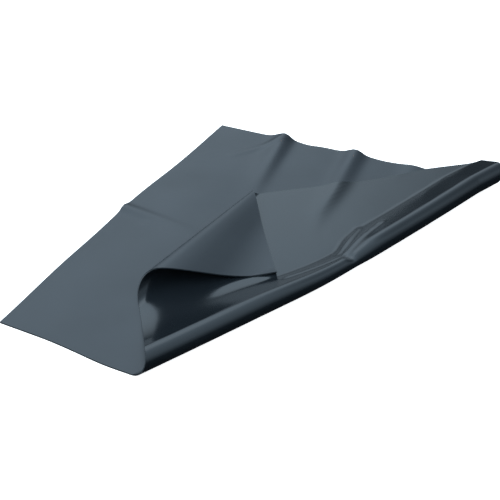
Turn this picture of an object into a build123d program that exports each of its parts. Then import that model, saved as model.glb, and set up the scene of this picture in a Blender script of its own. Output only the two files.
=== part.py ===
from build123d import *
import math
import os

# A flexible seedling heat mat, folded over itself along a rounded roll, with the near
# corner of the upper layer curled back on top. All sizes are in millimetres.
# Every layer is first laid out flat (u across, v along) and then folded facet by facet.

# ---- flat mat ----
MAT_WIDTH = 508.0
MAT_LENGTH = 527.0
COVER_THICK = 0.40
FOAM_THICK = 0.50
CARRIER_THICK = 0.15
INK_THICK = 0.08
LAYER_GAP = 0.04
SEAL_WIDTH = 9.0
SEAL_GAP = 0.4
CORE_INSET = SEAL_WIDTH + SEAL_GAP

# ---- heater ----
BUSBAR_WIDTH = 9.0
BUSBAR_INSET = 16.0
STRIP_WIDTH = 40.0
STRIP_PITCH = 58.0
STRIP_COUNT = 8
STRIP_END_GAP = 0.6

# ---- fold along the roll ----
FOLD_START_U = 173.5
FOLD_ANGLE = 24.8
ROLL_RADIUS = 12.5
ROLL_OVERTURN = 27.0
TAIL_RADIUS = 15.0
ROLL_FACETS = 16
TAIL_FACETS = 3
PANEL_GAP = 0.40

# ---- curled corner ----
CURL_APEX = (150.3, 475.0)
CURL_START = -94.3
CURL_WRAP = 8.4
CURL_TURN = 204.0
CURL_FACETS = 14
CURL_MID = 4.5
CURL_EASE = 5.5
CURL_BACK_TURN = 24.0
CURL_BACK_FACETS = 3
JOIN_MARGIN = 1.0
JOIN_GAP = 0.05

# ---- power inlet on the inner face, inside the roll ----
INLET_LENGTH = 46.0
INLET_WIDTH = 13.0
INLET_BASE_HEIGHT = 1.8
INLET_CAP_HEIGHT = 5.2
INLET_WALL = 1.1
INLET_CLEARANCE = 0.1
INLET_FROM_FOLD = 9.0
INLET_ALONG_FOLD = 500.0
CRIMP_RADIUS = 1.3
CRIMP_LENGTH = 12.0
CUTOUT_LENGTH = 14.0
CUTOUT_WIDTH = 5.0
CUTOUT_HEIGHT = 3.0
GLAND_RADIUS = 3.0
GLAND_BORE_RADIUS = 1.7
GLAND_LENGTH = 16.0

# ---- layer heights above the outer face ----
FOAM_LOW = COVER_THICK + LAYER_GAP
FOAM_HIGH = FOAM_LOW + FOAM_THICK
CARRIER_LOW = FOAM_HIGH + LAYER_GAP
CARRIER_HIGH = CARRIER_LOW + CARRIER_THICK
INK_LOW = CARRIER_HIGH + LAYER_GAP
INK_HIGH = INK_LOW + INK_THICK
INNER_LOW = INK_HIGH + LAYER_GAP
MAT_THICK = INNER_LOW + COVER_THICK

os.makedirs("parts", exist_ok=True)


# ---------------------------------------------------------------- folding
class Facet:
    """A flat piece of the folded sheet: where flat points (u, v) end up in space."""

    def __init__(self, origin, along_u, along_v):
        self.origin = origin
        self.along_u = along_u
        self.along_v = along_v
        self.normal = along_u.cross(along_v).normalized()

    def place(self, uv):
        return self.origin + self.along_u * uv[0] + self.along_v * uv[1]

    def folded(self, crease, angle):
        """The next facet, turned about the crease by the angle (degrees)."""
        base = self.place(crease.point)
        direction = self.along_u * crease.direction[0] + self.along_v * crease.direction[1]
        axis = Axis(base, direction)
        along_u = self.along_u.rotate(Axis((0, 0, 0), direction), angle)
        along_v = self.along_v.rotate(Axis((0, 0, 0), direction), angle)
        origin = axis.position + (self.origin - base).rotate(Axis((0, 0, 0), direction), angle)
        return Facet(origin, along_u, along_v)


class Crease:
    """A straight line across the flat sheet; side() grows towards the free corner."""

    def __init__(self, point, direction, forward):
        self.point = point
        self.direction = direction
        normal = (-direction[1], direction[0])
        facing = normal[0] * forward[0] + normal[1] * forward[1]
        self.normal = normal if facing > 0 else (-normal[0], -normal[1])

    def side(self, uv):
        du = uv[0] - self.point[0]
        dv = uv[1] - self.point[1]
        return du * self.normal[0] + dv * self.normal[1]

    def shifted(self, distance):
        point = (
            self.point[0] + self.normal[0] * distance,
            self.point[1] + self.normal[1] * distance,
        )
        return Crease(point, self.direction, self.normal)


fold_rad = math.radians(FOLD_ANGLE)
FOLD_DIRECTION = (math.sin(fold_rad), math.cos(fold_rad))
FOLD_NORMAL = (math.cos(fold_rad), -math.sin(fold_rad))


def fold_crease(distance):
    """A line parallel to the roll, at a distance past the roll's first contact line."""
    point = (FOLD_START_U + FOLD_NORMAL[0] * distance, FOLD_NORMAL[1] * distance)
    return Crease(point, FOLD_DIRECTION, FOLD_NORMAL)


def arc_bends(start, length, turn, count):
    """Creases of a facetted arc: (distance, angle) pairs."""
    step = length / count
    return [(start + (i + 0.5) * step, turn / count) for i in range(count)]


# the roll, its straight tail and the bend that lays the upper layer down
overturn = math.radians(ROLL_OVERTURN)
UPPER_HEIGHT = 2 * MAT_THICK + PANEL_GAP
roll_length = ROLL_RADIUS * (math.pi + overturn)
drop_left = ROLL_RADIUS * (1 + math.cos(overturn)) - TAIL_RADIUS * (1 - math.cos(overturn))
tail_straight = (drop_left - UPPER_HEIGHT) / math.sin(overturn)
tail_start = roll_length + tail_straight
tail_length = TAIL_RADIUS * overturn
FOLD_END = tail_start + tail_length
FOLD_END_SHIFT = (
    -ROLL_RADIUS * math.sin(overturn)
    - tail_straight * math.cos(overturn)
    - TAIL_RADIUS * math.sin(overturn)
)

roll_bends = arc_bends(0.0, roll_length, 180.0 + ROLL_OVERTURN, ROLL_FACETS)
tail_bends = arc_bends(tail_start, tail_length, -ROLL_OVERTURN, TAIL_FACETS)


def flat_from_plan(x, y):
    """Flat point of the upper layer that lies above plan point (x, y)."""
    du = x - FOLD_START_U
    across = du * FOLD_NORMAL[0] + y * FOLD_NORMAL[1]
    along = du * FOLD_DIRECTION[0] + y * FOLD_DIRECTION[1]
    distance = FOLD_END - (across - FOLD_END_SHIFT)
    u = FOLD_START_U + distance * FOLD_NORMAL[0] + along * FOLD_DIRECTION[0]
    v = distance * FOLD_NORMAL[1] + along * FOLD_DIRECTION[1]
    return (u, v)


CURL_POINT = flat_from_plan(*CURL_APEX)


def curl_crease(sweep):
    """A line from the curl's apex, turned by a sweep (degrees) towards the free corner."""
    bearing = math.radians(CURL_START - sweep)
    ahead = math.radians(CURL_START - sweep - 90.0)
    far = flat_from_plan(
        CURL_APEX[0] + math.cos(bearing), CURL_APEX[1] + math.sin(bearing)
    )
    beyond = flat_from_plan(
        CURL_APEX[0] + math.cos(ahead), CURL_APEX[1] + math.sin(ahead)
    )
    direction = (far[0] - CURL_POINT[0], far[1] - CURL_POINT[1])
    forward = (beyond[0] - CURL_POINT[0], beyond[1] - CURL_POINT[1])
    return Crease(CURL_POINT, direction, forward)


wrap_bends = arc_bends(0.0, CURL_WRAP, CURL_TURN, CURL_FACETS)
back_start = CURL_WRAP + CURL_MID
back_bends = arc_bends(back_start, CURL_EASE, -CURL_BACK_TURN, CURL_BACK_FACETS)
CURL_END = back_start + CURL_EASE


def fold_sheet():
    """All facets and the creases between them, from the lower layer to the corner."""
    facets = [Facet(Vector(0, 0, 0), Vector(1, 0, 0), Vector(0, 1, 0))]
    creases = []
    bends = [(fold_crease(distance), angle) for distance, angle in roll_bends + tail_bends]
    bends += [(curl_crease(sweep), angle) for sweep, angle in wrap_bends + back_bends]
    for crease, angle in bends:
        facets.append(facets[-1].folded(crease, -angle))
        creases.append(crease)
    return facets, creases


FACETS, CREASES = fold_sheet()


# ---------------------------------------------------------------- layers
def clip(polygon, crease, sign):
    """The part of a convex flat polygon on one side of a crease."""
    kept = []
    for i, here in enumerate(polygon):
        there = polygon[(i + 1) % len(polygon)]
        a = sign * crease.side(here)
        b = sign * crease.side(there)
        if a >= 0:
            kept.append(here)
        if (a > 0 > b) or (a < 0 < b):
            t = a / (a - b)
            kept.append((here[0] + (there[0] - here[0]) * t, here[1] + (there[1] - here[1]) * t))
    return tidy(kept)


def tidy(polygon):
    """Drops points that fall on their neighbour."""
    kept = []
    for point in polygon:
        if not kept or math.dist(point, kept[-1]) > 1e-4:
            kept.append(point)
    while len(kept) > 1 and math.dist(kept[0], kept[-1]) < 1e-4:
        kept.pop()
    return kept


def area(polygon):
    total = 0.0
    for i, here in enumerate(polygon):
        there = polygon[(i + 1) % len(polygon)]
        total += here[0] * there[1] - there[0] * here[1]
    return total / 2


def face(points):
    return Face(Wire.make_polygon([Vector(*p) for p in points], close=True))


def slab(polygon, low, high, first, last, start=None, end=None):
    """A closed solid: a flat polygon between two heights, folded over facets first..last.

    start and end are creases that trim the polygon inside the first and last facet."""
    if area(polygon) < 0:
        polygon = polygon[::-1]
    if start:
        polygon = clip(polygon, start, 1)
    if end and len(polygon) > 2:
        polygon = clip(polygon, end, -1)
    if len(polygon) < 3 or abs(area(polygon)) < 0.5:
        return None
    faces = []
    for index in range(first, last + 1):
        piece = polygon
        before = CREASES[index - 1] if index > first else None
        after = CREASES[index] if index < last else None
        if before:
            piece = clip(piece, before, 1)
        if after and len(piece) > 2:
            piece = clip(piece, after, -1)
        if len(piece) < 3 or abs(area(piece)) < 1e-3:
            continue
        faces += facet_faces(piece, low, high, index, before, after)
    return Solid(Shell(faces))


def lift_at(uv, index, before, after):
    """Direction in which a point leaves the sheet, so that neighbours meet in a mitre."""
    normal = FACETS[index].normal
    other = None
    if before and abs(before.side(uv)) < 1e-4:
        other = FACETS[index - 1].normal
    if after and abs(after.side(uv)) < 1e-4:
        other = FACETS[index + 1].normal
    if other is None:
        return normal
    return (normal + other) * (1 / (1 + normal.dot(other)))


def facet_faces(piece, low, high, index, before, after):
    facet = FACETS[index]
    bottom = []
    top = []
    for uv in piece:
        lift = lift_at(uv, index, before, after)
        bottom.append(facet.place(uv) + lift * low)
        top.append(facet.place(uv) + lift * high)
    faces = [face(bottom[::-1]), face(top)]
    for i, here in enumerate(piece):
        j = (i + 1) % len(piece)
        there = piece[j]
        shared = False
        for crease in (before, after):
            if crease and abs(crease.side(here)) < 1e-4 and abs(crease.side(there)) < 1e-4:
                shared = True
        if shared:
            continue
        faces.append(face([bottom[i], bottom[j], top[j]]))
        faces.append(face([bottom[i], top[j], top[i]]))
    return faces


# ---------------------------------------------------------------- regions
fold_facets = len(roll_bends) + len(tail_bends)
curl_facets = len(wrap_bends) + len(back_bends)
UPPER_INDEX = fold_facets
FLAP_INDEX = fold_facets + curl_facets

lower_cut = fold_crease(-JOIN_MARGIN)
upper_cut = fold_crease(FOLD_END + JOIN_MARGIN)
curl_cut = curl_crease(-0.15)
flap_cut = curl_crease(CURL_END + 0.15)

REGIONS = {
    "lower": (0, 0, None, lower_cut.shifted(-JOIN_GAP)),
    "roll": (0, UPPER_INDEX, lower_cut, upper_cut),
    "upper": (UPPER_INDEX, UPPER_INDEX, upper_cut.shifted(JOIN_GAP), curl_cut.shifted(-JOIN_GAP)),
    "curl": (UPPER_INDEX, FLAP_INDEX, curl_cut, flap_cut),
    "flap": (FLAP_INDEX, FLAP_INDEX, flap_cut.shifted(JOIN_GAP), None),
}


def rectangle(u0, v0, u1, v1):
    return [(u0, v0), (u1, v0), (u1, v1), (u0, v1)]


def layer(region, polygons, low, high):
    """One layer of a region: every polygon of it that falls in the region."""
    first, last, start, end = REGIONS[region]
    solids = [slab(p, low, high, first, last, start, end) for p in polygons]
    return [s for s in solids if s is not None]


def strip_columns():
    """Left edges of the carbon strips, centred across the mat."""
    span = STRIP_PITCH * (STRIP_COUNT - 1) + STRIP_WIDTH
    left = (MAT_WIDTH - span) / 2
    return [left + i * STRIP_PITCH for i in range(STRIP_COUNT)]


def seal_polygons():
    """The welded rim, one strip for each edge of the mat."""
    w = MAT_WIDTH
    h = MAT_LENGTH
    s = SEAL_WIDTH
    return [
        rectangle(0, 0, w, s),
        rectangle(0, h - s, w, h),
        rectangle(0, s, s, h - s),
        rectangle(w - s, s, w, h - s),
    ]


def mat_layers(region):
    w = MAT_WIDTH
    h = MAT_LENGTH
    inset = CORE_INSET
    sheet = [rectangle(0, 0, w, h)]
    core = [rectangle(inset, inset, w - inset, h - inset)]
    near_bar = BUSBAR_INSET + BUSBAR_WIDTH
    far_bar = h - BUSBAR_INSET - BUSBAR_WIDTH
    bars_near = [rectangle(BUSBAR_INSET, BUSBAR_INSET, w - BUSBAR_INSET, near_bar)]
    bars_far = [rectangle(BUSBAR_INSET, far_bar, w - BUSBAR_INSET, h - BUSBAR_INSET)]
    strips = []
    for left in strip_columns():
        strips.append(
            rectangle(left, near_bar + STRIP_END_GAP, left + STRIP_WIDTH, far_bar - STRIP_END_GAP)
        )
    return {
        "outer_cover": layer(region, sheet, 0.0, COVER_THICK),
        "foam_insulation": layer(region, core, FOAM_LOW, FOAM_HIGH),
        "heater_film": layer(region, core, CARRIER_LOW, CARRIER_HIGH),
        "carbon_strips": layer(region, strips, INK_LOW, INK_HIGH),
        "near_busbar": layer(region, bars_near, INK_LOW, INK_HIGH),
        "far_busbar": layer(region, bars_far, INK_LOW, INK_HIGH),
        "rim_weld": layer(region, seal_polygons(), FOAM_LOW, INK_HIGH),
        "inner_cover": layer(region, sheet, INNER_LOW, MAT_THICK),
    }


# ---------------------------------------------------------------- power inlet
def inlet_place():
    """Frame of the inlet: x across the roll, y along it towards the far edge."""
    u = FOLD_START_U - FOLD_NORMAL[0] * INLET_FROM_FOLD + FOLD_DIRECTION[0] * INLET_ALONG_FOLD
    v = -FOLD_NORMAL[1] * INLET_FROM_FOLD + FOLD_DIRECTION[1] * INLET_ALONG_FOLD
    plane = Plane(
        origin=(u, v, MAT_THICK + LAYER_GAP),
        x_dir=(FOLD_NORMAL[0], FOLD_NORMAL[1], 0),
        z_dir=(0, 0, 1),
    )
    return plane.location


def block(width, length, height, z):
    return Pos(0, 0, z + height / 2) * Box(width, length, height)


def inlet_parts():
    place = inlet_place()
    base = block(INLET_WIDTH, INLET_LENGTH, INLET_BASE_HEIGHT, 0)
    cap_z = INLET_BASE_HEIGHT + LAYER_GAP
    cap = block(INLET_WIDTH, INLET_LENGTH, INLET_CAP_HEIGHT, cap_z)
    cap -= block(
        INLET_WIDTH - 2 * INLET_WALL,
        INLET_LENGTH - 2 * INLET_WALL,
        INLET_CAP_HEIGHT - INLET_WALL,
        cap_z,
    )
    mouth_z = cap_z + GLAND_RADIUS - INLET_WALL + 0.4
    mouth = Pos(0, INLET_LENGTH / 2, mouth_z) * Rot(90, 0, 0)
    gland_hole = mouth * Cylinder(GLAND_BORE_RADIUS + INLET_CLEARANCE, 4 * INLET_WALL)
    cap -= gland_hole
    gland = Pos(0, INLET_LENGTH / 2 + LAYER_GAP + GLAND_LENGTH / 2, mouth_z) * Rot(90, 0, 0)
    boot = gland * Cone(GLAND_RADIUS, GLAND_RADIUS * 0.8, GLAND_LENGTH, rotation=(180, 0, 0))
    boot -= gland * Cylinder(GLAND_BORE_RADIUS, GLAND_LENGTH * 1.2)
    floor = cap_z + CRIMP_RADIUS + 0.02
    crimps = []
    for side in (-1, 1):
        spot = Pos(side * INLET_WIDTH * 0.22, INLET_LENGTH * 0.18, floor) * Rot(90, 0, 0)
        crimps.append(place * (spot * Cylinder(CRIMP_RADIUS, CRIMP_LENGTH)))
    spot = Pos(0, -INLET_LENGTH * 0.24, 0)
    cutout = spot * block(CUTOUT_WIDTH, CUTOUT_LENGTH, CUTOUT_HEIGHT, cap_z + 0.02)
    return {
        "inlet_base": [place * base],
        "inlet_cap": [place * cap],
        "inlet_gland": [place * boot],
        "left_crimp": [crimps[0]],
        "right_crimp": [crimps[1]],
        "thermal_cutout": [place * cutout],
    }


# ---------------------------------------------------------------- output
def all_nodes():
    nodes = {}
    for region in REGIONS:
        for name, solids in mat_layers(region).items():
            if solids:
                nodes[f"{region}_{name}"] = solids
    nodes.update(inlet_parts())
    return nodes


def main():
    nodes = all_nodes()
    box = Compound([s for solids in nodes.values() for s in solids]).bounding_box()
    centre = box.center()
    shift = Pos(-centre.X, -centre.Y, -box.min.Z)
    for name, solids in nodes.items():
        moved = [shift * s for s in solids]
        shape = moved[0] if len(moved) == 1 else Compound(moved)
        export_step(shape, f"parts/{name}.step")
    fold_axis = (FOLD_START_U - centre.X, -centre.Y, ROLL_RADIUS - box.min.Z)
    print("size", box.size, "nodes", len(nodes))
    print("origin shift", -centre.X, -centre.Y, -box.min.Z)
    print("fold axis point", fold_axis, "direction", FOLD_DIRECTION)
    tilt = math.asin(CURL_WRAP / CURL_TURN)
    bearing = math.radians(CURL_START)
    curl_axis = (
        math.cos(bearing) * math.cos(tilt),
        math.sin(bearing) * math.cos(tilt),
        math.sin(tilt),
    )
    reach = CURL_APEX[1] * 0.7
    curl_point = (
        CURL_APEX[0] - centre.X + curl_axis[0] * reach,
        CURL_APEX[1] - centre.Y + curl_axis[1] * reach,
        UPPER_HEIGHT - box.min.Z + curl_axis[2] * reach,
    )
    print("curl axis point", curl_point, "direction", curl_axis)


main()
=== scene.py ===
import math

import bpy
import numpy as np
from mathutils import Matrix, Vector


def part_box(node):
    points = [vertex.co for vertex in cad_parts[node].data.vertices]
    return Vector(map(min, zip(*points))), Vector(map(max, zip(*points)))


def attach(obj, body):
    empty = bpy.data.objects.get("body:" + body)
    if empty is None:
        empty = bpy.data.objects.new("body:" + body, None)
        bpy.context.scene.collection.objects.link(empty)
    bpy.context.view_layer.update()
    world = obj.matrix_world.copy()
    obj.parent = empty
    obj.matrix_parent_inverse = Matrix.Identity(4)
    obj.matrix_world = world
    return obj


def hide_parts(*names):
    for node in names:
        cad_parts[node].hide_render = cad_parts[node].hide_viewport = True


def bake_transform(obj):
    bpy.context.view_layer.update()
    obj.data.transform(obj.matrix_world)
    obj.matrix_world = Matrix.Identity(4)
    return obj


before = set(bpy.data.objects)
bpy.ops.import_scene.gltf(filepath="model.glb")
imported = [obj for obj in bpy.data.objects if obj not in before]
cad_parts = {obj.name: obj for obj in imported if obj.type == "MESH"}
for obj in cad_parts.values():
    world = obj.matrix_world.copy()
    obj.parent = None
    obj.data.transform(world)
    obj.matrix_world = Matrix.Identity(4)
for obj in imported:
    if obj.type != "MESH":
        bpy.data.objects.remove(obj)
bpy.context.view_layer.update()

# A flexible heat mat, folded over itself along a soft roll, with one corner curled back.
# The sheet is worked out in millimetres from its near left corner, as flat points (u, v)
# that are folded into place, and moved into the row frame in metres at the end.

# ---------------------------------------------------------------- sizes, in millimetres
MAT_WIDTH = 508.0
MAT_LENGTH = 527.0
COVER = 0.40
FOAM = (0.44, 0.94)
CARRIER = (0.98, 1.13)
INK = (1.17, 1.25)
INNER_LOW = 1.29
THICK = 1.69
RIM = 9.0
CORE_INSET = 9.4
BAR_INSET = 16.0
BAR_WIDTH = 9.0
STRIP_START = 31.0
STRIP_PITCH = 58.0
STRIP_COUNT = 8
STRIP_WIDTH = 40.0
STRIP_CLEARANCE = 0.6
WELD_CLEARANCE = 0.02
CELL = 5.0
ROLL_CELL = 2.5

FOLD_START_U = 173.5
FOLD_ANGLE = math.radians(24.8)
ROLL_RADIUS = 12.5
OVERTURN = math.radians(27.0)
NEAR_TAIL_RADIUS = 160.0
TAIL_RADIUS = 15.0
PANEL_GAP = 0.40
FOLD_END = 126.5  # distance over the roll, and down to the flat of the upper layer
NEAR_END = 110.0  # the gentler near end holds this far along the roll, and fades over as much again
ROLL_LEAN = 11.9
ROLL_LENGTH = 542.0
ROLL_SLIDE = 7.0
LEAN_FADE = 110.0  # how far into the upper layer the roll's lean fades out
PINCH_ALONG = 290.0
PINCH_DEPTH = 0.30
PINCH_REACH = (95.0, 26.0)  # before the pinch, and past it
PINCH_PUSH = 3.1
PUSH_BEFORE = 42.0
PUSH_WIDTH = 72.0
FAR_GROWTH = 0.08
FAR_GROWTH_START = 330
FAR_GROWTH_REACH = 250
NEAR_BULGE = 1.6

CURL_APEX = np.array([153.8, 506.8])
CURL_START = math.radians(-93.8)
CURL_BENDS = ((6.5, 198.0), (4.1, 9.0), (4.2, 0.0), (9.0, -20.0))
TIP_REACH = (30.0, 12.0)
TIP_LIFT = 3.0
CURL_LEAD = 60.0  # how far before the fold's end the sheet may already be curled
CURL_SMOOTHING = 0.9
SWEEP_STEP = 0.05
SWEEP_END = 62

LOW_CORNER = np.array(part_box("lower_outer_cover")[0]) * 1000.0
F_DIR = np.array([math.sin(FOLD_ANGLE), math.cos(FOLD_ANGLE)])
N_DIR = np.array([math.cos(FOLD_ANGLE), -math.sin(FOLD_ANGLE)])
UPPER_Z = 2 * THICK + PANEL_GAP


def smooth(x):
    x = np.clip(x, 0.0, 1.0)
    return x * x * (3 - 2 * x)


def bump(x, centre, width):
    return np.exp(-(((x - centre) / width) ** 2))


# ---------------------------------------------------------------- the fold along the roll
def profile_table(tail_radius, run):
    """Outer face across the roll, as across and height for each distance run."""
    loop = ROLL_RADIUS * (math.pi + OVERTURN)
    drop = ROLL_RADIUS * (1 + math.cos(OVERTURN)) - tail_radius * (1 - math.cos(OVERTURN))
    straight = (drop - UPPER_Z) / math.sin(OVERTURN)
    late = np.clip((run - loop - straight) / tail_radius, 0, OVERTURN)
    angle = np.where(run < loop, run / ROLL_RADIUS, math.pi + OVERTURN - late)
    middle = (angle[1:] + angle[:-1]) / 2
    step = run[1] - run[0]
    across = np.concatenate([[0], np.cumsum(np.cos(middle)) * step])
    height = np.concatenate([[0], np.cumsum(np.sin(middle)) * step])
    return across, height


RUN = np.linspace(0.0, FOLD_END, 3000)
ACROSS, HEIGHT = profile_table(TAIL_RADIUS, RUN)
NEAR_ACROSS, NEAR_HEIGHT = profile_table(NEAR_TAIL_RADIUS, RUN)
TOP_RUN = float(RUN[np.argmax(HEIGHT)])
TOP_Z = float(HEIGHT.max())
NEAR_ACROSS += (ACROSS[-1] - NEAR_ACROSS[-1]) * smooth((RUN - TOP_RUN) / (FOLD_END - TOP_RUN))


def mixed(run, along, far_table, near_table):
    """The roll falls away more gently near its near end."""
    near = 1 - smooth((along - NEAR_END) / NEAR_END)
    return np.interp(run, RUN, far_table) * (1 - near) + np.interp(run, RUN, near_table) * near


def across_at(run, along):
    past = ACROSS[-1] - (run - FOLD_END)
    rolled = mixed(run, along, ACROSS, NEAR_ACROSS)
    return np.where(run <= 0, run, np.where(run >= FOLD_END, past, rolled))


def height_at(run, along):
    rolled = mixed(run, along, HEIGHT, NEAR_HEIGHT)
    return np.where(run <= 0, 0.0, np.where(run >= FOLD_END, UPPER_Z, rolled))


def roll_lean(along):
    """How far the roll leans out from a straight line, along its length."""
    arch = ROLL_LEAN * np.sin(math.pi * np.clip(along / ROLL_LENGTH, 0, 1))
    return arch + PINCH_PUSH * bump(along, PINCH_ALONG - PUSH_BEFORE, PUSH_WIDTH)


def roll_scale(along):
    """The roll is thinner towards the pinch, and recovers quickly past it."""
    reach = np.where(along < PINCH_ALONG, *PINCH_REACH)
    growth = FAR_GROWTH * smooth((along - FAR_GROWTH_START) / FAR_GROWTH_REACH)
    return 1.0 - PINCH_DEPTH * bump(along, PINCH_ALONG, reach) + growth


# ---------------------------------------------------------------- the curl of the corner
def curl_table():
    """Direction from the curl's apex for each sweep angle, once the corner is bent over."""
    step = SWEEP_STEP
    sweep = np.arange(0, SWEEP_END, step)
    marks = np.cumsum([0.0] + [b for b, _ in CURL_BENDS] + [60.0])
    turns = np.cumsum([0.0] + [t for _, t in CURL_BENDS] + [0.0])
    turn = np.interp(sweep, marks, turns)
    half = 60
    kernel = bump(np.arange(-half, half + 1) * step, 0.0, CURL_SMOOTHING)
    padded = np.concatenate([np.zeros(half), turn, np.full(half, turn[-1])])
    turn = np.convolve(padded, kernel / kernel.sum(), "valid")
    turn = np.radians(turn - turn[0])
    g = np.array([math.cos(CURL_START), math.sin(CURL_START), 0.0])
    t = np.array([math.sin(CURL_START), -math.cos(CURL_START), 0.0])
    turned = [g]
    d = math.radians(step)
    for i in range(1, len(sweep)):
        g, t = g * math.cos(d) + t * math.sin(d), t * math.cos(d) - g * math.sin(d)
        bend = turn[i] - turn[i - 1]
        t = t * math.cos(bend) + np.cross(t, g) * math.sin(bend)
        turned.append(g)
    return sweep, np.array(turned)


SWEEP, TURNED = curl_table()
CURL_TOP = float(SWEEP[np.argmax(TURNED[:300, 2])])


def sweep_of(x, y):
    """Sweep angle (degrees) and distance of a plan point about the curl's apex."""
    dx = x - CURL_APEX[0]
    dy = y - CURL_APEX[1]
    angle = np.degrees(CURL_START - np.arctan2(dy, dx))
    return (angle + 180.0) % 360.0 - 180.0, np.hypot(dx, dy)


# ---------------------------------------------------------------- soft waves in the sheet
def ridge(x, y, spine, left, right):
    """A soft ridge along a spine of (x, y, height), steeper on one side than the other."""
    xs, ys, heights = zip(*spine)
    off = x - np.interp(y, ys, xs)
    return np.interp(y, ys, heights) * bump(off, 0.0, np.where(off < 0, left, right))


def crease(x, y, near, far, height_near, height_far, width):
    """A narrow soft crease between two plan points, fading at both ends."""
    ax, ay = near
    bx, by = far
    length = math.hypot(bx - ax, by - ay)
    dx, dy = (bx - ax) / length, (by - ay) / length
    t = ((x - ax) * dx + (y - ay) * dy) / length
    off = (x - ax) * -dy + (y - ay) * dx
    grown = height_near + (height_far - height_near) * np.clip(t, 0, 1)
    ends = smooth((t + 0.25) / 0.25) * (1 - smooth((t - 1.0) / 0.25))
    return grown * ends * bump(off, 0.0, width)


# each ridge: its spine as (x, y, height), then its width to the left and to the right
RIDGES = (
    (((138, 300, 0.0), (131, 360, 1.5), (120, 440, 5.0), (108, 527, 8.8)), 17, 12),
    (((252, 290, 0.0), (236, 350, 2.2), (231, 420, 4.2), (222, 527, 8.0)), 14, 13),
    (((316, 440, 0.0), (310, 527, 2.4)), 15, 17),
)
# each crease: near point, far point, height at each, and width
CREASES = (
    ((62, 450), (108, 516), 0.8, 2.2, 7),
    ((112, 243), (-10, 256), 0.4, 4.5, 9),
    ((118, 236), (50, 232), 0.5, 1.0, 6),
)
# each swell: height, then its middle and width in x and in y
SWELLS = ((2.2, (62, 45), (320, 55)), (1.2, (90, 40), (130, 70)))


def waves(x, y):
    z = 0.0
    for spine, left, right in RIDGES:
        z += ridge(x, y, spine, left, right)
    for near, far, height_near, height_far, width in CREASES:
        z += crease(x, y, near, far, height_near, height_far, width)
    for height, in_x, in_y in SWELLS:
        z += height * bump(x, *in_x) * bump(y, *in_y)
    return z


# each wander of an edge: how far it moves, its middle and its width along the edge
LEFT_WANDER = ((6.5, 272, 88), (4.2, 120, 80))
FAR_WANDER = ((3.2, 148, 16), (2.0, 268, 18))


def edge_shift(x, y):
    """Small moves in the plane that make the mat's edges wander as soft sheet does."""
    left = smooth(1 - x / 120.0)
    sx = -left * sum(size * bump(y, *spot) for size, *spot in LEFT_WANDER)
    far = smooth((y - 390.0) / 130.0)
    near = smooth(1 - y / 110.0)
    sy = -far * sum(size * bump(x, *spot) for size, *spot in FAR_WANDER)
    sy = sy - near * NEAR_BULGE * smooth(x / 190.0)
    return sx, sy


# each small fold at the pinch: its ends as (along, across), height at each, and width
PINCH_FOLDS = (
    ((300, -13), (372, -27), 1.2, 2.4, 3.5),
    ((296, -22), (350, -42), 1.0, 1.8, 4.0),
    ((282, -12), (215, -22), 1.0, 1.6, 3.5),
)
PINCH_DENT = 3.2


def pinch_relief(across, along):
    """Small folds that fan out from the pinch, over the top and back of the roll."""
    z = -PINCH_DENT * bump(along, PINCH_ALONG + 1, 6) * bump(across, -2, 9)
    for near, far, height_near, height_far, width in PINCH_FOLDS:
        z += crease(along, across, near, far, height_near, height_far, width)
    return z


# ---------------------------------------------------------------- flat point to place
def place(u, v):
    """Outer face of the folded sheet at flat points (u, v), in millimetres."""
    # across and along the roll, with its lean and changes of size, which fade in the upper layer
    du = u - FOLD_START_U
    run = du * N_DIR[0] + v * N_DIR[1]
    along = du * F_DIR[0] + v * F_DIR[1]
    lean = roll_lean(along)
    size = roll_scale(along)
    turned = run - lean
    in_roll = (turned > 0) & (turned < FOLD_END)
    back = smooth((run - FOLD_END + 20.0) / LEAN_FADE)
    sized = np.where(turned > 0, size, 1.0)
    end_shift = np.where(turned > FOLD_END, (size - 1.0) * ACROSS[-1], 0.0)
    rolled = across_at(turned, along)
    shaped = np.where(in_roll, rolled * sized, rolled + end_shift) + lean
    across = shaped * (1 - back) + across_at(run, along) * back
    settle = smooth(turned / FOLD_END)
    level = height_at(turned, along)
    raised = np.where(in_roll, level * sized + UPPER_Z * (1 - size) * settle, level)
    height = raised * (1 - back) + height_at(run, along) * back
    height = height + pinch_relief(across - lean, along) * smooth((turned - 20.0) / 15.0)
    slide = ROLL_SLIDE * (1 - smooth(along / 170.0)) * smooth((run + 110) / 110)
    slid = along - slide * (1 - back)
    x = FOLD_START_U + across * N_DIR[0] + slid * F_DIR[0]
    y = across * N_DIR[1] + slid * F_DIR[1]
    # soft waves on the lower and upper layers, and wandering edges on the lower one
    sweep, reach = sweep_of(x, y)
    curled = (run > FOLD_END - CURL_LEAD) & (sweep > 0)
    above = (height - UPPER_Z) * (1 - smooth(sweep / 3.5))
    flat = 1 - smooth((run + 40.0) / 40.0)
    upper = smooth((run - FOLD_END) / 40.0) * (1 - smooth((sweep + 6.0) / 6.0))
    lift = waves(x, y) * (flat + upper)
    sx, sy = edge_shift(x, y)
    px = x + sx * flat
    py = y + sy * flat
    pz = height + lift
    # the corner, bent over along lines from the curl's apex
    direction = np.stack([np.interp(sweep, SWEEP, TURNED[:, k]) for k in range(3)], -1)
    px = np.where(curled, CURL_APEX[0] + reach * direction[..., 0], px)
    py = np.where(curled, CURL_APEX[1] + reach * direction[..., 1], py)
    corner = 1 - (MAT_WIDTH - u) / TIP_REACH[0] - v / TIP_REACH[1]
    tipped = TIP_LIFT * np.clip(corner, 0, 1)
    pz = np.where(curled, UPPER_Z + above + reach * direction[..., 2] + tipped, pz)
    return np.stack([px, py, pz], -1)


def normals(u, v):
    h = 0.02
    du = place(u + h, v) - place(u - h, v)
    dv = place(u, v + h) - place(u, v - h)
    n = np.cross(du, dv)
    return n / np.linalg.norm(n, axis=-1, keepdims=True)


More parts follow.
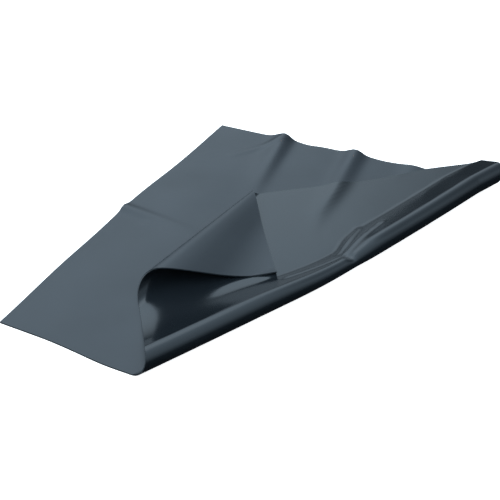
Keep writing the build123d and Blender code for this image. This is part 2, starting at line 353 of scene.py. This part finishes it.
# ---------------------------------------------------------------- sheet pieces
def clip(polygon, point, normal):
    """The part of a convex polygon on the side that the normal points to."""
    kept = []
    for i, here in enumerate(polygon):
        there = polygon[(i + 1) % len(polygon)]
        a = (here[0] - point[0]) * normal[0] + (here[1] - point[1]) * normal[1]
        b = (there[0] - point[0]) * normal[0] + (there[1] - point[1]) * normal[1]
        if a >= 0:
            kept.append(here)
        if a * b < 0:
            t = a / (a - b)
            kept.append((here[0] + (there[0] - here[0]) * t, here[1] + (there[1] - here[1]) * t))
    return kept


def area(polygon):
    total = 0.0
    for i, here in enumerate(polygon):
        there = polygon[(i + 1) % len(polygon)]
        total += here[0] * there[1] - there[0] * here[1]
    return total / 2


def flat_from_fold(run, along):
    return (
        FOLD_START_U + run * N_DIR[0] + along * F_DIR[0],
        run * N_DIR[1] + along * F_DIR[1],
    )


def flat_from_plan(x, y):
    """Flat point of the upper layer above a plan point."""
    du = x - FOLD_START_U
    across = du * N_DIR[0] + y * N_DIR[1]
    along = du * F_DIR[0] + y * F_DIR[1]
    return flat_from_fold(FOLD_END - (across - ACROSS[-1]), along)


def flat_from_sweep(sweep, reach):
    angle = CURL_START - math.radians(sweep)
    return flat_from_plan(
        CURL_APEX[0] + reach * math.cos(angle), CURL_APEX[1] + reach * math.sin(angle)
    )


def spaced(low, high, step):
    count = max(1, int(math.ceil((high - low) / step - 1e-6)))
    return [low + (high - low) * i / count for i in range(count + 1)]


def fold_cells(runs, step=CELL):
    alongs = spaced(-130.0, 700.0, step)
    return [
        [flat_from_fold(r0, a0), flat_from_fold(r1, a0), flat_from_fold(r1, a1), flat_from_fold(r0, a1)]
        for r0, r1 in zip(runs, runs[1:])
        for a0, a1 in zip(alongs, alongs[1:])
    ]


def curl_cells(sweeps):
    reaches = spaced(60.0, 520.0, CELL)
    return [
        [flat_from_sweep(s0, q0), flat_from_sweep(s1, q0), flat_from_sweep(s1, q1), flat_from_sweep(s0, q1)]
        for s0, s1 in zip(sweeps, sweeps[1:])
        for q0, q1 in zip(reaches, reaches[1:])
    ]


def curl_side(sweep):
    """A point and normal that cut the flat sheet along one line of the curl."""
    a = flat_from_sweep(sweep, 0.0)
    b = flat_from_sweep(sweep, 100.0)
    c = flat_from_sweep(sweep - 90.0, 100.0)
    dx, dy = (b[0] - a[0]) / 100.0, (b[1] - a[1]) / 100.0
    n = (-dy, dx)
    if n[0] * (c[0] - a[0]) + n[1] * (c[1] - a[1]) < 0:
        n = (dy, -dx)
    return a, n


LOWER_REACH = 380.0
UPPER_REACH = 460.0
FLAP_CLOSE = 24.0  # the sweep up to which the flap still bends and needs narrow cells
FLAP_REACH = 60.0
ROLL_RUNS = spaced(0.0, TOP_RUN, 2.4)
TAIL_RUNS = spaced(TOP_RUN, FOLD_END + 1.0, 3.0)
REGIONS = {
    "lower": (fold_cells(spaced(-LOWER_REACH, 0.0, CELL)), []),
    "roll": (fold_cells(ROLL_RUNS, ROLL_CELL), []),
    "upper": (
        fold_cells(TAIL_RUNS, ROLL_CELL) + fold_cells(spaced(FOLD_END + 1.0, UPPER_REACH, CELL)),
        [curl_side(0.0)],
    ),
    "curl": (curl_cells(spaced(0.0, CURL_TOP, 0.42)), []),
    "flap": (
        curl_cells(spaced(CURL_TOP, FLAP_CLOSE, 0.5) + spaced(FLAP_CLOSE, FLAP_REACH, 1.5)[1:]),
        [],
    ),
}


def cut_size(flat):
    """Width and length in metres of the smallest rectangle that holds the flat points."""
    best = (math.inf, math.inf)
    for angle in np.radians(np.arange(0, 90, 0.2)):
        c, s = math.cos(angle), math.sin(angle)
        turned = flat @ np.array([[c, -s], [s, c]])
        sides = sorted(float(side) for side in np.ptp(turned, axis=0))
        if sides[0] * sides[1] < best[0] * best[1]:
            best = sides
    return [side / 1000 for side in best]


def sheet_mesh(name, region, polygons, low, high):
    """A closed thin piece of the folded sheet between two heights above its outer face."""
    cells, cuts = REGIONS[region]
    index = {}
    points = []
    faces = []

    def vertex(p):
        key = (round(p[0], 3), round(p[1], 3))
        if key not in index:
            index[key] = len(points)
            points.append(p)
        return index[key]

    corners = np.array(cells)
    for polygon in polygons:
        if area(polygon) < 0:
            polygon = polygon[::-1]
        sides = list(cuts)
        for i, a in enumerate(polygon):
            b = polygon[(i + 1) % len(polygon)]
            sides.append((a, (-(b[1] - a[1]), b[0] - a[0])))
        inside = np.ones(len(cells), bool)
        out = np.zeros(len(cells), bool)
        for p, n in sides:
            d = (corners - np.array(p)) @ np.array(n)
            inside &= (d >= 0).all(1)
            out |= (d <= 1e-6).all(1)
        for i in np.flatnonzero(~out):
            piece = cells[i]
            if not inside[i]:
                for p, n in sides:
                    if len(piece) > 2:
                        piece = clip(piece, p, n)
            if len(piece) < 3 or abs(area(piece)) < 1e-3:
                continue
            ids = []
            for p in piece if area(piece) > 0 else piece[::-1]:
                k = vertex(p)
                if not ids or (k != ids[-1] and k != ids[0]):
                    ids.append(k)
            if len(ids) > 2:
                faces.append(ids)
    if not faces:
        return None
    flat = np.array(points)
    base = place(flat[:, 0], flat[:, 1])
    n = normals(flat[:, 0], flat[:, 1])
    count = len(flat)
    verts = np.concatenate([base + n * high, base + n * low]) + LOW_CORNER
    edges = {}
    for f in faces:
        for a, b in zip(f, f[1:] + f[:1]):
            edges[(a, b)] = edges.get((a, b), 0) + 1
    rim = [(a, b) for a, b in edges if (b, a) not in edges]
    all_faces = faces + [[count + k for k in f[::-1]] for f in faces]
    all_faces += [[b, a, count + a, count + b] for a, b in rim]
    mesh = bpy.data.meshes.new(name)
    mesh.from_pydata((verts / 1000.0).tolist(), [], all_faces)
    mesh.update()
    obj = bpy.data.objects.new(name, mesh)
    bpy.context.collection.objects.link(obj)
    top = [tuple(n[k]) for f in faces for k in f]
    bottom = [tuple(-n[k]) for f in faces for k in f[::-1]]
    custom = top + bottom
    for f in mesh.polygons[2 * len(faces):]:
        custom += [tuple(f.normal)] * f.loop_total
    mesh.polygons.foreach_set("use_smooth", [True] * len(mesh.polygons))
    mesh.normals_split_custom_set(custom)
    obj["flat_area"] = sum(area([points[k] for k in f]) for f in faces) / 1e6
    obj["flat_size"] = cut_size(flat)
    return obj


def rectangle(u0, v0, u1, v1):
    return [(u0, v0), (u1, v0), (u1, v1), (u0, v1)]


SHEET = [rectangle(0, 0, MAT_WIDTH, MAT_LENGTH)]
CORE = [rectangle(CORE_INSET, CORE_INSET, MAT_WIDTH - CORE_INSET, MAT_LENGTH - CORE_INSET)]
NEAR_BAR = [rectangle(BAR_INSET, BAR_INSET, MAT_WIDTH - BAR_INSET, BAR_INSET + BAR_WIDTH)]
FAR_V = MAT_LENGTH - BAR_INSET - BAR_WIDTH
FAR_BAR = [rectangle(BAR_INSET, FAR_V, MAT_WIDTH - BAR_INSET, FAR_V + BAR_WIDTH)]
INK_STRIPS = [
    rectangle(u, BAR_INSET + BAR_WIDTH + STRIP_CLEARANCE, u + STRIP_WIDTH, FAR_V - STRIP_CLEARANCE)
    for u in (STRIP_START + STRIP_PITCH * i for i in range(STRIP_COUNT))
]
RIM_WELD = [
    rectangle(0, 0, MAT_WIDTH, RIM),
    rectangle(0, MAT_LENGTH - RIM, MAT_WIDTH, MAT_LENGTH),
    rectangle(0, RIM, RIM, MAT_LENGTH - RIM),
    rectangle(MAT_WIDTH - RIM, RIM, MAT_WIDTH, MAT_LENGTH - RIM),
]


# ---------------------------------------------------------------- materials
def material(name, color, roughness, metallic=0.0, ior=1.5, specular=0.5):
    mat = bpy.data.materials.new(name)
    mat.use_nodes = True
    nodes = mat.node_tree.nodes
    shader = nodes["Principled BSDF"]
    shader.inputs["Base Color"].default_value = (*color, 1.0)
    shader.inputs["Roughness"].default_value = roughness
    shader.inputs["Metallic"].default_value = metallic
    shader.inputs["IOR"].default_value = ior
    shader.inputs["Specular IOR Level"].default_value = specular
    return mat, nodes, mat.node_tree.links, shader


def noise(nodes, links, scale, detail=2.0):
    coords = nodes.new("ShaderNodeTexCoord")
    node = nodes.new("ShaderNodeTexNoise")
    node.inputs["Scale"].default_value = scale
    node.inputs["Detail"].default_value = detail
    links.new(coords.outputs["Object"], node.inputs["Vector"])
    return node.outputs["Fac"]


def remap(nodes, links, value, low, high):
    node = nodes.new("ShaderNodeMapRange")
    node.inputs["From Min"].default_value = 0.3
    node.inputs["From Max"].default_value = 0.7
    node.inputs["To Min"].default_value = low
    node.inputs["To Max"].default_value = high
    links.new(value, node.inputs["Value"])
    return node.outputs["Result"]


def mottled(nodes, links, value, dark, light):
    ramp = nodes.new("ShaderNodeValToRGB")
    ramp.color_ramp.elements[0].position = 0.3
    ramp.color_ramp.elements[0].color = (*dark, 1.0)
    ramp.color_ramp.elements[1].position = 0.7
    ramp.color_ramp.elements[1].color = (*light, 1.0)
    links.new(value, ramp.inputs["Fac"])
    return ramp.outputs["Color"]


def bumped(nodes, links, shader, layers):
    """Stacks bump layers, each (height, distance in metres, strength)."""
    last = None
    for value, distance, strength in layers:
        node = nodes.new("ShaderNodeBump")
        node.inputs["Distance"].default_value = distance
        node.inputs["Strength"].default_value = strength
        links.new(value, node.inputs["Height"])
        if last:
            links.new(last, node.inputs["Normal"])
        last = node.outputs["Normal"]
    links.new(last, shader.inputs["Normal"])


def film(name, color, roughness, spread, grain=0.0):
    """Calendered plastic film: an even colour, a fine grain and faint soft unevenness."""
    mat, nodes, links, shader = material(name, color, roughness)
    shader.inputs["Specular Tint"].default_value = (0.86, 0.94, 1.0, 1.0)
    cloud = noise(nodes, links, 14.0, 3.0)
    dark = tuple(c * 0.9 for c in color)
    light = tuple(c * 1.1 for c in color)
    links.new(mottled(nodes, links, cloud, dark, light), shader.inputs["Base Color"])
    patch = noise(nodes, links, 9.0, 2.0)
    rough = remap(nodes, links, patch, roughness - spread, roughness + spread)
    links.new(rough, shader.inputs["Roughness"])
    relief = [(noise(nodes, links, 26.0, 1.0), 0.0012, 0.12)]
    if grain:
        relief.append((noise(nodes, links, 2600.0, 2.0), 0.00003, grain))
    bumped(nodes, links, shader, relief)
    return mat


def plain(name, color, roughness, metallic=0.0, scale=300.0, depth=0.00005):
    mat, nodes, links, shader = material(name, color, roughness, metallic)
    value = noise(nodes, links, scale, 3.0)
    dark = tuple(c * 0.85 for c in color)
    light = tuple(min(1.0, c * 1.15) for c in color)
    links.new(mottled(nodes, links, value, dark, light), shader.inputs["Base Color"])
    bumped(nodes, links, shader, [(value, depth, 0.4)])
    return mat


SATIN = film("satin_film", (0.013, 0.017, 0.022), 0.40, 0.03, 0.25)
GLOSS = film("gloss_film", (0.009, 0.012, 0.015), 0.15, 0.03)
WELD = plain("welded_rim", (0.022, 0.027, 0.032), 0.4)
FOAM_MAT = plain("foam", (0.05, 0.05, 0.055), 0.9, scale=1500.0, depth=0.0002)
CARRIER_MAT = plain("carrier_film", (0.50, 0.33, 0.10), 0.25)
INK_MAT = plain("carbon_ink", (0.012, 0.012, 0.012), 0.7, scale=2000.0)
COPPER = plain("copper_foil", (0.72, 0.36, 0.22), 0.3, 1.0)
MOULDED = plain("moulded_plastic", (0.02, 0.022, 0.025), 0.45, scale=900.0)
RUBBER = plain("gland_rubber", (0.015, 0.015, 0.015), 0.65, scale=900.0)
TINNED = plain("tinned_metal", (0.70, 0.69, 0.66), 0.28, 1.0)
CAN = plain("can_metal", (0.78, 0.78, 0.78), 0.3, 1.0)

LAYERS = [
    ("outer_cover", SHEET, 0.0, COVER, GLOSS, "outer_film", True),
    ("foam_insulation", CORE, *FOAM, FOAM_MAT, "foam", True),
    ("heater_film", CORE, *CARRIER, CARRIER_MAT, "heater_film", True),
    ("carbon_strips", INK_STRIPS, *INK, INK_MAT, "carbon_ink", False),
    ("near_busbar", NEAR_BAR, *INK, COPPER, "busbar", False),
    ("far_busbar", FAR_BAR, *INK, COPPER, "busbar", False),
    ("rim_weld", RIM_WELD, COVER + WELD_CLEARANCE, INNER_LOW - WELD_CLEARANCE, WELD, "rim_weld", False),
    ("inner_cover", SHEET, INNER_LOW, THICK, SATIN, "inner_film", True),
]

# heights in millimetres where a blend between two bodies would start and end; no blend is applied here
CURL_NEAR_REACH = 290.0
CURL_HEIGHT = UPPER_Z + float((TURNED[:, 2] * CURL_NEAR_REACH).max())
ROLL_BLEND_LOW = 2.3
ROLL_BLEND_SHARE = 0.85
CURL_BLEND_SHARE = 0.8
RIDES = {
    "lower": ("lower_panel", None, 0, 0),
    "roll": ("lower_panel", "upper_panel", ROLL_BLEND_LOW, ROLL_BLEND_SHARE * TOP_Z),
    "upper": ("upper_panel", None, 0, 0),
    "curl": ("upper_panel", "corner_flap", UPPER_Z + 0.5, CURL_HEIGHT * CURL_BLEND_SHARE),
    "flap": ("corner_flap", None, 0, 0),
}

for region, (body, second, low_z, high_z) in RIDES.items():
    for layer, polygons, low, high, mat, slot, is_sheet in LAYERS:
        node = f"{region}_{layer}"
        piece = sheet_mesh(f"{region}_{layer}_soft", region, polygons, low, high)
        if piece is None:
            continue
        piece.data.materials.append(mat)
        if second:
            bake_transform(piece)
        else:
            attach(piece, body)
        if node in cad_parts:
            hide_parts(node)

for node, mat in (
    ("inlet_base", MOULDED),
    ("inlet_cap", MOULDED),
    ("inlet_gland", RUBBER),
    ("left_crimp", TINNED),
    ("right_crimp", TINNED),
    ("thermal_cutout", CAN),
):
    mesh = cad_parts[node].data
    mesh.materials.clear()
    mesh.materials.append(mat)

# ---------------------------------------------------------------- floor, light and camera
FLOOR_SIZE = 12.0
FLOOR_Z = -0.0004
BACKDROP_RADIUS = 5.8


def pale(name, color, glow):
    """Names the new object, makes it pale and keeps it out of the mat's reflections."""
    obj = bpy.context.object
    obj.name = name
    mat, _, _, shader = material(name, color, 0.9, specular=0.0)
    shader.inputs["Emission Color"].default_value = (1, 1, 1, 1)
    shader.inputs["Emission Strength"].default_value = glow
    obj.data.materials.append(mat)
    obj.visible_glossy = False
    obj.visible_diffuse = False
    return obj


bpy.ops.mesh.primitive_plane_add(size=FLOOR_SIZE, location=(0, 0, FLOOR_Z))
floor = pale("floor", (0.92, 0.90, 0.88), 0.85)
bpy.ops.mesh.primitive_uv_sphere_add(segments=96, ring_count=48, radius=BACKDROP_RADIUS)
backdrop = pale("backdrop", (0.0, 0.0, 0.0), 1.0)
backdrop.visible_transmission = False
backdrop.visible_shadow = False


def studio_world():
    """A soft white dome: dark below, brighter on the left, dimmed in one patch at the back."""
    world = bpy.data.worlds.new("studio")
    world.use_nodes = True
    nodes = world.node_tree.nodes
    links = world.node_tree.links
    coords = nodes.new("ShaderNodeTexCoord")

    def toward(direction, low, high, dark, bright):
        dot = nodes.new("ShaderNodeVectorMath")
        dot.operation = "DOT_PRODUCT"
        dot.inputs[1].default_value = Vector(direction).normalized()
        links.new(coords.outputs["Generated"], dot.inputs[0])
        ramp = nodes.new("ShaderNodeMapRange")
        for name, value in (
            ("From Min", low), ("From Max", high), ("To Min", dark), ("To Max", bright)
        ):
            ramp.inputs[name].default_value = value
        links.new(dot.outputs["Value"], ramp.inputs["Value"])
        return ramp.outputs["Result"]

    dome = toward((0, 0, 1), -0.03, 0.60, 0.02, 1.0)
    glow = toward((-0.98, -0.20, 0.0), -1.0, 0.5, 0.85, 2.20)
    flag = toward((0.30, 0.84, 0.45), 0.83, 0.97, 1.0, 0.25)

    def times(a, b):
        product = nodes.new("ShaderNodeMath")
        product.operation = "MULTIPLY"
        links.new(a, product.inputs[0])
        links.new(b, product.inputs[1])
        return product.outputs["Value"]

    back = nodes["Background"]
    back.inputs["Color"].default_value = (0.785, 0.94, 1.06, 1)
    links.new(times(times(dome, glow), flag), back.inputs["Strength"])
    return world


bpy.context.scene.world = studio_world()
bpy.context.scene.view_settings.view_transform = "Standard"


def soft_key():
    light = bpy.data.lights.new("soft_key", "AREA")
    light.shape = "DISK"
    light.size = 1.6
    light.energy = 3.0
    lamp = bpy.data.objects.new("soft_key", light)
    lamp.location = (-0.9, 0.9, 2.2)
    lamp.rotation_euler = (-lamp.location).to_track_quat("-Z", "Y").to_euler()
    bpy.context.collection.objects.link(lamp)


CAMERA_FROM_CORNER = np.array([524.68, -468.94, 558.29])  # millimetres from the near left corner
CAMERA_PITCH = math.radians(35.367)
CAMERA_HEADING = (-0.43098, 0.90236)
CAMERA_LENS = 56.56


def photo_camera():
    """A camera that sees the mat from where the photograph was taken."""
    level = math.cos(CAMERA_PITCH)
    look = Vector((CAMERA_HEADING[0] * level, CAMERA_HEADING[1] * level, -math.sin(CAMERA_PITCH)))
    data = bpy.data.cameras.new("camera")
    data.sensor_width = 36.0
    data.lens = CAMERA_LENS
    camera = bpy.data.objects.new("camera", data)
    camera.location = ((CAMERA_FROM_CORNER + LOW_CORNER) / 1000.0).tolist()
    camera.rotation_euler = look.to_track_quat("-Z", "Y").to_euler()
    bpy.context.collection.objects.link(camera)
    bpy.context.scene.camera = camera


soft_key()
photo_camera()
